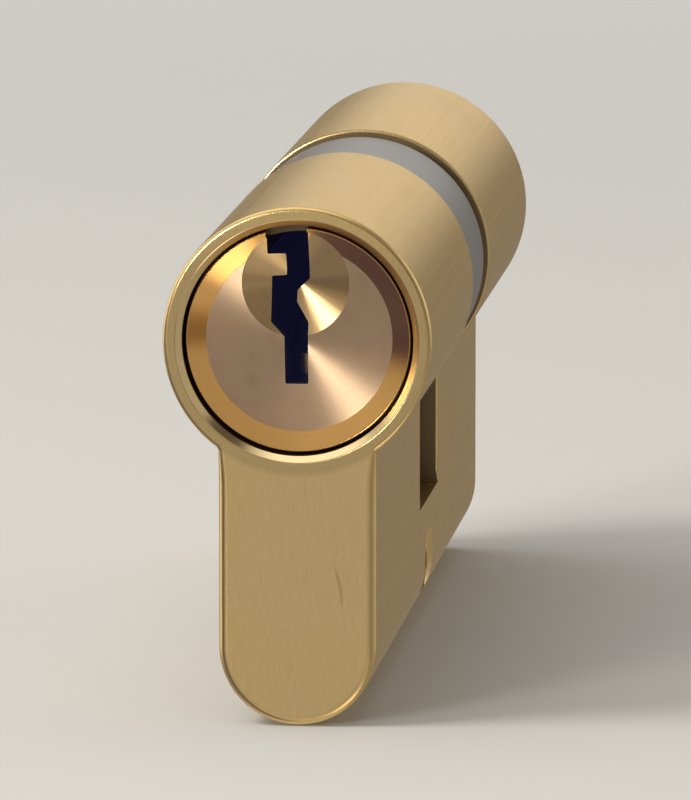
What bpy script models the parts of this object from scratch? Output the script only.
"""Euro-profile double lock cylinder, 35/35, keyed on both sides.

Frame: the origin is under the middle of the profile, where the lobe's round
end touches a table, in the plane of the cam and the fixing screw.  X is across
the profile, Y runs along the plugs (front face at -Y, rear face at +Y) and Z
is up, with the pin lobe hanging down.  Dimensions are in millimetres, with
heights (_Z, _TOP, _BOTTOM, _FOOT) measured from the plugs' turning axis, and
scaled to metres on the way in.  Every object hangs from one empty at that axis.

The rear plug and circlip are the front ones turned half a turn about Z.  The
pin stacks are repeated without turning, and the clutch sits off centre.
"""

import math

import bmesh
import bpy

MM = 0.001
MERGE_DISTANCE = 1e-6           # metres, for turned seams and spring caps
OUTLINE_MERGE_DISTANCE = 1e-7   # metres, for extruded outlines
OVERCUT = 1.0                   # how far a cutter runs past the face it opens

# ---------------------------------------------------------------- profile
HEAD_R = 8.5            # round head of the profile, diameter 17
LOBE_HALF_W = 5.0       # pin lobe, 10 wide
LOBE_ROUND_Z = -19.5    # centre of the lobe's round end
AXIS_HEIGHT = LOBE_HALF_W - LOBE_ROUND_Z    # turning axis above the origin
HALF_LENGTH = 35.0      # each side of the cam's centre line
BODY_EDGE_BREAK = 0.35
HEAD_SEGMENTS = 36
LOBE_SEGMENTS = 16

# ---------------------------------------------------------------- body cuts
BORE_R = 6.6
COUNTERBORE_R = 7.3
COUNTERBORE_DEPTH = 3.3
LIP_R = 7.66            # bevelled lip where the counterbore meets the face
LIP_DEPTH = 0.45
BORE_STEPS = 40
CAM_SLOT_HALF = 6.2     # along Y
CAM_SLOT_WIDTH = 24.0   # along X, wider than the body
CAM_SLOT_TOP = 12.0     # clear above the head
BRIDGE_TOP_Z = -15.3    # floor of the cam slot
SCREW_HOLE_R = 2.5      # for the M5 fixing screw
SCREW_HOLE_Z = -19.9
SCREW_HOLE_LENGTH = 20.0
SCREW_HOLE_SEGMENTS = 24

# ---------------------------------------------------------------- pin chambers
PIN_COUNT = 5
PIN_PITCH = 4.0
FIRST_PIN_Y = 27.5      # the pin nearest the face
PIN_Y = [FIRST_PIN_Y - PIN_PITCH * i for i in range(PIN_COUNT)]
CHAMBER_R = 1.55
CHAMBER_TOP = -5.0
CHAMBER_BOTTOM = -26.0
PIN_HOLE_TOP = 1.7      # the same drill, through the plug
PIN_HOLE_BOTTOM = -8.0
PIN_SEGMENTS = 12       # round pins, caps and their holes

# ---------------------------------------------------------------- plug
# Places along the plug are distances from the cam's centre line.
PLUG_R = BORE_R - 0.1
PLUG_HEAD_R = 7.12
PLUG_RIM = HALF_LENGTH - 0.8    # the head's rim, set back from the body's face
PLUG_RIM_CHAMFER = 0.14
PLUG_DISC = 33.5        # the flat turned disc at the bottom of the dish
PLUG_DISC_R = 5.9
PLUG_HEAD_BACK = 32.0
BARREL_END = 6.1
GROOVE_R = 5.6
GROOVE_END = 5.15
COLLAR_R = 6.2
COLLAR_END = 4.35
TAIL_R = 5.6
TAIL_END = 2.6
PLUG_STEPS = 40

GUIDE_R = 3.4           # shallow cone that guides the key in
GUIDE_DEPTH = 1.6
GUIDE_X, GUIDE_Z = -0.24, 3.5
GUIDE_STEPS = 20

KEYWAY_HALF_LENGTH = 20.0
# (x, z) on the front plug, seen from the front; the top runs out above the plug
KEYWAY = (
    (-2.06, 9.0), (-2.06, 5.28), (-0.91, 5.28), (-0.91, 3.85),
    (-1.82, 3.85), (-1.82, 1.00), (-0.95, 0.10), (-0.89, -2.89),
    (0.58, -2.89), (0.55, 1.00), (-0.24, 2.20), (-0.24, 2.90),
    (0.55, 3.67), (0.55, 9.0),
)

# ---------------------------------------------------------------- pins and caps
PIN_R = CHAMBER_R - 0.1
SHEAR_GAP = 0.22        # pin ends stand off the plug's radius by this much
KEY_PIN_FOOT = -PLUG_R + SHEAR_GAP
KEY_PIN_LENGTHS = (5.4, 6.4, 5.0, 6.9, 5.9)     # from the face inwards
KEY_PIN_TIP_R = 0.45
KEY_PIN_TIP_HEIGHT = 0.75
KEY_PIN_FOOT_INSET = 0.35
KEY_PIN_FOOT_HEIGHT = 0.25
DRIVER_TOP = -PLUG_R - SHEAR_GAP
DRIVER_LENGTH = 5.4
DRIVER_FOOT = DRIVER_TOP - DRIVER_LENGTH
CAP_TOP, CAP_BOTTOM = -22.4, -24.15
CAP_R = CHAMBER_R - 0.05
PIN_CHAMFER = 0.2       # on driver pins and caps

# ---------------------------------------------------------------- springs
SPRING_TURNS = 5
SPRING_POINTS_PER_TURN = 8
SPRING_FLAT_END = 0.1   # share of the wire that lies nearly flat at each end
SPRING_STEADY_RISE = 0.06   # share of the height gained evenly along the wire
PIN_SPRING_R = 1.08
PIN_SPRING_WIRE_R = 0.17
PIN_SPRING_GAP = 0.06   # between the wire and its seats
CLUTCH_SPRING_R = 0.85
CLUTCH_SPRING_WIRE_R = 0.13
CLUTCH_SPRING_GAP = 0.05

# ---------------------------------------------------------------- cam and circlips
CAM_HALF = 5.0
CAM_R = 8.2
CAM_BORE_R = 5.75
CAM_COLLAR_R = 6.4
CAM_COLLAR_DEPTH = 0.9
CAM_NOSE_R = 15.0
CAM_NOSE_HALF_W = 3.9
CAM_EDGE_BREAK = 0.3
CAM_HUB_SEGMENTS = 36
CAM_NOSE_SEGMENTS = 6
CAM_BORE_STEPS = 36
CLIP_R_IN, CLIP_R_OUT = 5.75, 7.3
CLIP_FROM, CLIP_TO = 5.25, 5.98
CLIP_HALF_GAP = 32.0    # degrees either side of the top, on the outer edge
CLIP_INNER_GAP_RATIO = 1.12
CLIP_SEGMENTS = 26

# ---------------------------------------------------------------- clutch
CLUTCH_R = 5.45
CLUTCH_ARC_SEGMENTS = 12
LUG_R = 6.6
LUG_HALF_W = 1.45
LUG_TAPER = 0.06
LUG_GROOVE_R = LUG_R + 0.25
LUG_GROOVE_HALF_W = LUG_HALF_W + 0.15
CLUTCH_BAR_HALF_W = 1.65
CLUTCH_BAR_HALF_L = 5.0
CLUTCH_POCKET_R = 1.15
CLUTCH_POCKET_SEGMENTS = 16
TAIL_SLOT_HALF = CLUTCH_BAR_HALF_W + 0.15   # slot in the plug's tail
TAIL_SLOT_END = 4.45
# Y of: disc from, disc to, bar tip, pocket from, pocket to.
# The front bar reaches into the front plug's tail slot; the rear bar stands clear.
CLUTCH_LAYOUT = {
    "front": (-2.35, -1.15, -4.05, -2.9, 0.0),
    "rear": (-0.45, 0.75, 2.25, -1.0, 1.4),
}

# ---------------------------------------------------------------- directions
FACING = (math.pi / 2, 0.0, 0.0)            # local Z looks out of the front face
FACING_REAR = (math.pi / 2, 0.0, math.pi)   # local Z looks out of the rear face
ACROSS = (0.0, math.pi / 2, 0.0)            # local Z lies along X
DRILL_TURN = (0.0, 0.0, math.radians(10.0))  # keeps drilled edges off other edges
SIDES = (("front", -1.0, FACING), ("rear", 1.0, FACING_REAR))   # name, Y sign, rotation


# ================================================================ scene helpers
def start_empty():
    for item in list(bpy.data.objects):
        bpy.data.objects.remove(item, do_unlink=True)
    for group in list(bpy.data.collections):
        bpy.data.collections.remove(group)


def make_datum():
    """Parent of everything: an empty on the plugs' turning axis."""
    datum = bpy.data.objects.new("plug_axis", None)
    datum.location = (0.0, 0.0, AXIS_HEIGHT * MM)
    bpy.context.scene.collection.objects.link(datum)


def new_collection(name):
    group = bpy.data.collections.new(name)
    bpy.context.scene.collection.children.link(group)
    return group


def metal(name, rgb, roughness):
    material = bpy.data.materials.new(name)
    material.use_nodes = True
    shader = material.node_tree.nodes["Principled BSDF"]
    shader.inputs["Base Color"].default_value = (*rgb, 1.0)
    shader.inputs["Roughness"].default_value = roughness
    shader.inputs["Metallic"].default_value = 1.0
    material.diffuse_color = (*rgb, 1.0)
    return material


def place(name, data, group, material=None, rotation=(0.0, 0.0, 0.0), at=(0.0, 0.0, 0.0)):
    """Hang a mesh or curve from the datum; shared data gets its material once."""
    piece = bpy.data.objects.new(name, data)
    group.objects.link(piece)
    piece.parent = bpy.data.objects["plug_axis"]
    piece.rotation_euler = rotation
    piece.location = [value * MM for value in at]
    if material is not None and not data.materials:
        data.materials.append(material)
    return piece


# ================================================================ shape helpers
def arc(radius, start, end, count, centre_y=0.0):
    """count+1 points from start to end degrees, measured from +X towards +Y."""
    points = []
    for i in range(count + 1):
        angle = math.radians(start + (end - start) * i / count)
        points.append((radius * math.cos(angle), centre_y + radius * math.sin(angle)))
    return points


def half_angle(half_width, radius):
    """Degrees from a circle's middle line to where a strip's edge meets it."""
    return math.degrees(math.asin(half_width / radius))


def both_ends(half):
    """A (radius, height) profile continued by its mirror image below zero."""
    return half + [(radius, -height) for radius, height in reversed(half)]


def profile_mesh(name, profile):
    """An open profile of (radius, height) points in the XZ plane, top to bottom."""
    mesh = bpy.data.meshes.new(name)
    verts = [(radius * MM, 0.0, height * MM) for radius, height in profile]
    mesh.from_pydata(verts, [(i, i + 1) for i in range(len(verts) - 1)], [])
    return mesh


def turn(piece, steps):
    """Screw modifier: a full turn of the profile about local Z."""
    screw = piece.modifiers.new("Turned", "SCREW")
    screw.axis = "Z"
    screw.angle = math.tau
    screw.screw_offset = 0.0
    screw.steps = steps
    screw.render_steps = steps
    screw.use_merge_vertices = True
    screw.merge_threshold = MERGE_DISTANCE
    screw.use_smooth_shade = True


def turned(name, profile, steps, group, material=None, **placing):
    piece = place(name, profile_mesh(name, profile), group, material, **placing)
    turn(piece, steps)
    return piece


def outline_mesh(name, points, half):
    """A flat outline, extruded by half its thickness each way, as a closed mesh."""
    curve = bpy.data.curves.new(name, "CURVE")
    curve.dimensions = "2D"
    curve.fill_mode = "BOTH"
    curve.extrude = half * MM
    spline = curve.splines.new("POLY")
    spline.points.add(len(points) - 1)
    for point, (x, y) in zip(spline.points, points):
        point.co = (x * MM, y * MM, 0.0, 1.0)
    spline.use_cyclic_u = True
    outline = bpy.data.objects.new(name + "_outline", curve)
    bpy.context.scene.collection.objects.link(outline)
    bpy.context.view_layer.update()
    graph = bpy.context.evaluated_depsgraph_get()
    mesh = bpy.data.meshes.new_from_object(outline.evaluated_get(graph))
    mesh.name = name
    bpy.data.objects.remove(outline, do_unlink=True)
    bpy.data.curves.remove(curve)

    # join the caps to the walls and drop the caps' inner edges
    solid = bmesh.new()
    solid.from_mesh(mesh)
    bmesh.ops.remove_doubles(solid, verts=solid.verts, dist=OUTLINE_MERGE_DISTANCE)
    bmesh.ops.dissolve_limit(
        solid, angle_limit=math.radians(0.5), verts=solid.verts, edges=solid.edges,
    )
    bmesh.ops.recalc_face_normals(solid, faces=solid.faces)
    solid.to_mesh(mesh)
    solid.free()
    mesh.materials.clear()
    return mesh


def box_mesh(name, size):
    solid = bmesh.new()
    bmesh.ops.create_cube(solid, size=1.0)
    bmesh.ops.scale(solid, vec=[value * MM for value in size], verts=solid.verts)
    mesh = bpy.data.meshes.new(name)
    solid.to_mesh(mesh)
    solid.free()
    return mesh


def rod_mesh(name, radius, length, segments):
    """A rod along local Z, centred on its length."""
    solid = bmesh.new()
    bmesh.ops.create_cone(
        solid, cap_ends=True, cap_tris=False, segments=segments,
        radius1=radius * MM, radius2=radius * MM, depth=length * MM,
    )
    mesh = bpy.data.meshes.new(name)
    solid.to_mesh(mesh)
    solid.free()
    return mesh


def smooth_shade(mesh, sharp_degrees=35.0):
    for polygon in mesh.polygons:
        polygon.use_smooth = True
    mesh.set_sharp_from_angle(angle=math.radians(sharp_degrees))


def break_edges(piece, width):
    bevel = piece.modifiers.new("Broken edges", "BEVEL")
    bevel.width = width * MM
    bevel.segments = 1
    bevel.limit_method = "ANGLE"
    bevel.angle_limit = math.radians(60.0)


def cut(piece, cutter, label, operation="DIFFERENCE"):
    """Combine a hidden helper with the piece."""
    cutter.hide_render = True
    cutter.display_type = "WIRE"
    boolean = piece.modifiers.new(label, "BOOLEAN")
    boolean.operation = operation
    boolean.solver = "EXACT"
    boolean.object = cutter


def drill_row(piece, drill_mesh, prefix, label, sign, middle_z, cutters):
    """One upright hole at each pin place on one side."""
    for number, y in enumerate(PIN_Y, 1):
        drill = place(
            f"{prefix}_{number}", drill_mesh, cutters,
            rotation=DRILL_TURN, at=(0.0, sign * y, middle_z),
        )
        cut(piece, drill, f"{label} {number}")


# ================================================================ body
def body_outline():
    """Round head with a lobe below: the euro profile, counter-clockwise."""
    join = half_angle(LOBE_HALF_W, HEAD_R)
    head = arc(HEAD_R, -90.0 + join, 270.0 - join, HEAD_SEGMENTS)
    lobe = arc(LOBE_HALF_W, 180.0, 360.0, LOBE_SEGMENTS, LOBE_ROUND_Z)
    return head + lobe


def body_bore_profile():
    """Bore and counterbore; the lip's slope carries on past the face."""
    lip_slope = (LIP_R - COUNTERBORE_R) / LIP_DEPTH
    return both_ends([
        (0.0, HALF_LENGTH + OVERCUT),
        (LIP_R + lip_slope * OVERCUT, HALF_LENGTH + OVERCUT),
        (COUNTERBORE_R, HALF_LENGTH - LIP_DEPTH),
        (COUNTERBORE_R, HALF_LENGTH - COUNTERBORE_DEPTH),
        (BORE_R, HALF_LENGTH - COUNTERBORE_DEPTH),
    ])


def make_body(parts, cutters, brass):
    mesh = outline_mesh("cylinder_body", body_outline(), HALF_LENGTH)
    body = place("cylinder_body", mesh, parts, brass, FACING)
    break_edges(body, BODY_EDGE_BREAK)

    bore = turned("bore_cutter", body_bore_profile(), BORE_STEPS, cutters, rotation=FACING)
    cut(body, bore, "Bore")

    slot_size = (CAM_SLOT_WIDTH, 2 * CAM_SLOT_HALF, CAM_SLOT_TOP - BRIDGE_TOP_Z)
    slot = place(
        "cam_slot_cutter", box_mesh("cam_slot_cutter", slot_size), cutters,
        at=(0.0, 0.0, (CAM_SLOT_TOP + BRIDGE_TOP_Z) / 2),
    )
    cut(body, slot, "Cam slot")

    screw_hole = place(
        "fixing_screw_cutter",
        rod_mesh("fixing_screw_cutter", SCREW_HOLE_R, SCREW_HOLE_LENGTH, SCREW_HOLE_SEGMENTS),
        cutters, rotation=ACROSS, at=(0.0, 0.0, SCREW_HOLE_Z),
    )
    cut(body, screw_hole, "Fixing screw hole")

    drill = rod_mesh("chamber_cutter", CHAMBER_R, CHAMBER_TOP - CHAMBER_BOTTOM, PIN_SEGMENTS)
    middle_z = (CHAMBER_TOP + CHAMBER_BOTTOM) / 2
    for side, sign, _ in SIDES:
        drill_row(
            body, drill, f"chamber_cutter_{side}", f"Chamber {side}", sign, middle_z, cutters,
        )


# ================================================================ plugs
def plug_profile():
    return [
        (0.0, PLUG_DISC), (PLUG_DISC_R, PLUG_DISC),
        (PLUG_HEAD_R - PLUG_RIM_CHAMFER, PLUG_RIM),
        (PLUG_HEAD_R, PLUG_RIM - PLUG_RIM_CHAMFER), (PLUG_HEAD_R, PLUG_HEAD_BACK),
        (PLUG_R, PLUG_HEAD_BACK), (PLUG_R, BARREL_END),
        (GROOVE_R, BARREL_END), (GROOVE_R, GROOVE_END),
        (COLLAR_R, GROOVE_END), (COLLAR_R, COLLAR_END),
        (TAIL_R, COLLAR_END), (TAIL_R, TAIL_END), (0.0, TAIL_END),
    ]


def guide_profile():
    """Cone that opens towards the face, continued straight past the disc."""
    return [
        (0.0, PLUG_DISC + OVERCUT), (GUIDE_R, PLUG_DISC + OVERCUT),
        (GUIDE_R, PLUG_DISC), (0.0, PLUG_DISC - GUIDE_DEPTH),
    ]


def make_plug(side, sign, facing, parts, cutters, brass):
    plug = turned(f"{side}_plug", plug_profile(), PLUG_STEPS, parts, brass, rotation=facing)

    name = f"{side}_keyway_cutter"
    keyway = place(
        name, outline_mesh(name, KEYWAY, KEYWAY_HALF_LENGTH), cutters,
        rotation=facing, at=(0.0, sign * KEYWAY_HALF_LENGTH, 0.0),
    )
    cut(plug, keyway, "Keyway")

    guide = turned(
        f"{side}_guide_cutter", guide_profile(), GUIDE_STEPS, cutters,
        rotation=facing, at=(-sign * GUIDE_X, 0.0, GUIDE_Z),
    )
    cut(plug, guide, "Key guide")

    name = f"{side}_tail_slot_cutter"
    slot_depth = TAIL_SLOT_END - TAIL_END + OVERCUT
    slot_width = 16.0       # wider than the tail
    slot = place(
        name, box_mesh(name, (slot_width, slot_depth, 2 * TAIL_SLOT_HALF)), cutters,
        at=(0.0, sign * (TAIL_SLOT_END - slot_depth / 2), 0.0),
    )
    cut(plug, slot, "Tail slot")

    name = f"{side}_pin_hole_cutter"
    drill = rod_mesh(name, CHAMBER_R, PIN_HOLE_TOP - PIN_HOLE_BOTTOM, PIN_SEGMENTS)
    middle_z = (PIN_HOLE_TOP + PIN_HOLE_BOTTOM) / 2
    drill_row(plug, drill, name, "Pin hole", sign, middle_z, cutters)


# ================================================================ pin stacks
def key_pin_profile(length):
    """Tapered tip up in the keyway, chamfered foot just above the shear line."""
    top = KEY_PIN_FOOT + length
    return [
        (0.0, top), (KEY_PIN_TIP_R, top),
        (PIN_R, top - KEY_PIN_TIP_HEIGHT), (PIN_R, KEY_PIN_FOOT + KEY_PIN_FOOT_HEIGHT),
        (PIN_R - KEY_PIN_FOOT_INSET, KEY_PIN_FOOT), (0.0, KEY_PIN_FOOT),
    ]


def driver_profile():
    return [
        (0.0, DRIVER_TOP), (PIN_R - PIN_CHAMFER, DRIVER_TOP),
        (PIN_R, DRIVER_TOP - PIN_CHAMFER), (PIN_R, DRIVER_FOOT + PIN_CHAMFER),
        (PIN_R - PIN_CHAMFER, DRIVER_FOOT), (0.0, DRIVER_FOOT),
    ]


def cap_profile():
    return [
        (0.0, CAP_TOP), (CAP_R - PIN_CHAMFER, CAP_TOP), (CAP_R, CAP_TOP - PIN_CHAMFER),
        (CAP_R, CAP_BOTTOM), (0.0, CAP_BOTTOM),
    ]


def spring_points(radius, foot, top):
    """A coil from foot to top about local Z, with nearly flat end turns."""
    count = SPRING_TURNS * SPRING_POINTS_PER_TURN
    points = []
    for i in range(count + 1):
        share = i / count
        angle = math.tau * SPRING_TURNS * share
        coiled = (share - SPRING_FLAT_END) / (1.0 - 2 * SPRING_FLAT_END)
        coiled = min(max(coiled, 0.0), 1.0)
        lift = SPRING_STEADY_RISE * share + (1.0 - SPRING_STEADY_RISE) * coiled
        z = foot + (top - foot) * lift
        points.append((radius * math.cos(angle), radius * math.sin(angle), z))
    return points


def make_spring(name, points, wire_radius, group, material, **placing):
    curve = bpy.data.curves.new(name, "CURVE")
    curve.dimensions = "3D"
    curve.bevel_depth = wire_radius * MM
    curve.bevel_resolution = 0
    curve.use_fill_caps = True
    spline = curve.splines.new("POLY")
    spline.points.add(len(points) - 1)
    for point, (x, y, z) in zip(spline.points, points):
        point.co = (x * MM, y * MM, z * MM, 1.0)
    spring = place(name, curve, group, material, **placing)
    weld = spring.modifiers.new("Weld caps", "WELD")
    weld.merge_threshold = MERGE_DISTANCE


def make_stacks(side, sign, parts, brass, nickel, steel):
    """Five pin stacks: key pin, driver pin, spring and chamber cap."""
    driver_mesh = profile_mesh(f"{side}_driver", driver_profile())
    cap_mesh = profile_mesh(f"{side}_cap", cap_profile())
    inset = PIN_SPRING_WIRE_R + PIN_SPRING_GAP
    coil = spring_points(PIN_SPRING_R, CAP_TOP + inset, DRIVER_FOOT - inset)
    for number, (y, length) in enumerate(zip(PIN_Y, KEY_PIN_LENGTHS), 1):
        at = (0.0, sign * y, 0.0)
        turned(
            f"{side}_key_pin_{number}", key_pin_profile(length), PIN_SEGMENTS,
            parts, brass, at=at,
        )
        driver = place(f"{side}_driver_pin_{number}", driver_mesh, parts, nickel, at=at)
        turn(driver, PIN_SEGMENTS)
        make_spring(
            f"{side}_pin_spring_{number}", coil, PIN_SPRING_WIRE_R, parts, steel, at=at,
        )
        cap = place(f"{side}_chamber_cap_{number}", cap_mesh, parts, brass, at=at)
        turn(cap, PIN_SEGMENTS)


# ================================================================ cam
def cam_outline():
    """Hub with one nose: straight flanks and a round tip about the hub's axis.

    The nose points straight down, in line with the lobe, which is how the
    cylinder passes through the lock case when it is fitted or removed.
    """
    flank = half_angle(CAM_NOSE_HALF_W, CAM_R)
    tip = half_angle(CAM_NOSE_HALF_W, CAM_NOSE_R)
    hub = arc(CAM_R, -90.0 + flank, 270.0 - flank, CAM_HUB_SEGMENTS)
    nose = arc(CAM_NOSE_R, 270.0 - tip, 270.0 + tip, CAM_NOSE_SEGMENTS)
    return hub + nose


def make_cam(parts, cutters, material):
    cam = place("cam", outline_mesh("cam", cam_outline(), CAM_HALF), parts, material, FACING)
    break_edges(cam, CAM_EDGE_BREAK)

    bore_profile = both_ends([
        (0.0, CAM_HALF + OVERCUT), (CAM_COLLAR_R, CAM_HALF + OVERCUT),
        (CAM_COLLAR_R, CAM_HALF - CAM_COLLAR_DEPTH), (CAM_BORE_R, CAM_HALF - CAM_COLLAR_DEPTH),
    ])
    bore = turned("cam_bore_cutter", bore_profile, CAM_BORE_STEPS, cutters, rotation=FACING)
    cut(cam, bore, "Bore")

    groove_size = (2 * LUG_GROOVE_R, 2 * (CAM_HALF + OVERCUT), 2 * LUG_GROOVE_HALF_W)
    groove_mesh = box_mesh("cam_lug_groove_cutter", groove_size)
    cut(cam, place("cam_lug_groove_cutter", groove_mesh, cutters), "Lug grooves")


# ================================================================ circlips
def clip_outline():
    """Ring with a gap at the top, a little wider on the inner edge."""
    inner_gap = CLIP_HALF_GAP * CLIP_INNER_GAP_RATIO
    outer = arc(CLIP_R_OUT, 90.0 + CLIP_HALF_GAP, 450.0 - CLIP_HALF_GAP, CLIP_SEGMENTS)
    inner = arc(CLIP_R_IN, 450.0 - inner_gap, 90.0 + inner_gap, CLIP_SEGMENTS)
    return outer + inner


def make_circlip(side, sign, facing, parts, steel):
    name = f"{side}_circlip"
    mesh = outline_mesh(name, clip_outline(), (CLIP_TO - CLIP_FROM) / 2)
    smooth_shade(mesh)
    place(name, mesh, parts, steel, facing, at=(0.0, sign * (CLIP_TO + CLIP_FROM) / 2, 0.0))


# ================================================================ clutch
def clutch_disc_outline():
    """Disc with two slightly tapered driving lugs, on the X axis."""
    root = half_angle(LUG_HALF_W, CLUTCH_R)
    tip = LUG_HALF_W - LUG_TAPER
    right = [(LUG_R, -tip), (LUG_R, tip)]
    top = arc(CLUTCH_R, root, 180.0 - root, CLUTCH_ARC_SEGMENTS)
    left = [(-LUG_R, tip), (-LUG_R, -tip)]
    bottom = arc(CLUTCH_R, 180.0 + root, 360.0 - root, CLUTCH_ARC_SEGMENTS)
    return right + top + left + bottom


def make_clutch_half(side, parts, cutters, material):
    """Disc with a driving bar towards its plug and a pocket for the spring."""
    disc_from, disc_to, bar_tip, pocket_from, pocket_to = CLUTCH_LAYOUT[side]
    disc_middle = (disc_from + disc_to) / 2
    name = f"clutch_{side}_half"
    disc = place(
        name, outline_mesh(name, clutch_disc_outline(), (disc_to - disc_from) / 2),
        parts, material, FACING, at=(0.0, disc_middle, 0.0),
    )

    # the bar starts inside the disc, at its middle plane
    name = f"clutch_{side}_bar_joiner"
    bar_size = (2 * CLUTCH_BAR_HALF_L, abs(bar_tip - disc_middle), 2 * CLUTCH_BAR_HALF_W)
    bar = place(
        name, box_mesh(name, bar_size), cutters, at=(0.0, (bar_tip + disc_middle) / 2, 0.0),
    )
    cut(disc, bar, "Driving bar", "UNION")

    name = f"clutch_{side}_pocket_cutter"
    pocket = place(
        name,
        rod_mesh(name, CLUTCH_POCKET_R, pocket_to - pocket_from, CLUTCH_POCKET_SEGMENTS),
        cutters, rotation=FACING, at=(0.0, (pocket_from + pocket_to) / 2, 0.0),
    )
    cut(disc, pocket, "Spring pocket")


def make_clutch_spring(parts, steel):
    """Coil between the two pocket floors; its local Z points to -Y."""
    front_floor = CLUTCH_LAYOUT["front"][3]
    rear_floor = CLUTCH_LAYOUT["rear"][4]
    inset = CLUTCH_SPRING_WIRE_R + CLUTCH_SPRING_GAP
    coil = spring_points(CLUTCH_SPRING_R, -rear_floor + inset, -front_floor - inset)
    make_spring(
        "clutch_spring", coil, CLUTCH_SPRING_WIRE_R, parts, steel, rotation=FACING,
    )


def main():
    start_empty()
    make_datum()
    parts = new_collection("euro_cylinder")
    cutters = new_collection("cutters")

    satin_brass = metal("satin_brass", rgb=(0.62, 0.47, 0.24), roughness=0.38)
    turned_brass = metal("turned_brass", rgb=(0.72, 0.53, 0.27), roughness=0.24)
    nickel = metal("nickel_silver", rgb=(0.62, 0.60, 0.54), roughness=0.30)
    sintered = metal("sintered_steel", rgb=(0.42, 0.41, 0.39), roughness=0.48)
    steel = metal("spring_steel", rgb=(0.52, 0.52, 0.53), roughness=0.28)

    make_body(parts, cutters, satin_brass)
    make_cam(parts, cutters, sintered)
    for side, sign, facing in SIDES:
        make_plug(side, sign, facing, parts, cutters, turned_brass)
        make_stacks(side, sign, parts, turned_brass, nickel, steel)
        make_circlip(side, sign, facing, parts, steel)
        make_clutch_half(side, parts, cutters, sintered)
    make_clutch_spring(parts, steel)
    bpy.context.view_layer.update()


main()
